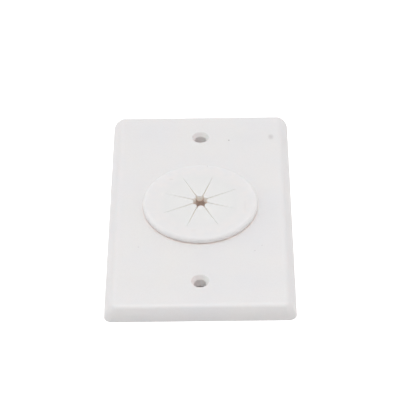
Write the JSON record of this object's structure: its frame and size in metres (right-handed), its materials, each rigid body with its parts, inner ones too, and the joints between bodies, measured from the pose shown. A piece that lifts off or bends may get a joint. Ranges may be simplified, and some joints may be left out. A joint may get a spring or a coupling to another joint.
{
  "type": "grommet wall plate",
  "caption": "White one-gang wall plate with a soft slit-finger grommet that closes around cables passing through the wall",
  "frame": {"origin": "middle of the plate's back, in the plane of the wall it is screwed to", "axes": "X across the plate, Y up the plate, Z out of the wall towards the room"},
  "size_m": [0.0698, 0.1142, 0.0081],
  "materials": {
    "plate_plastic": "satin moulded plastic",
    "grommet_rubber": "matt soft elastomer"
  },
  "bodies": {
    "root": {"wall_plate": "plate_plastic", "grommet": "grommet_rubber"}
  },
  "joints": []
}
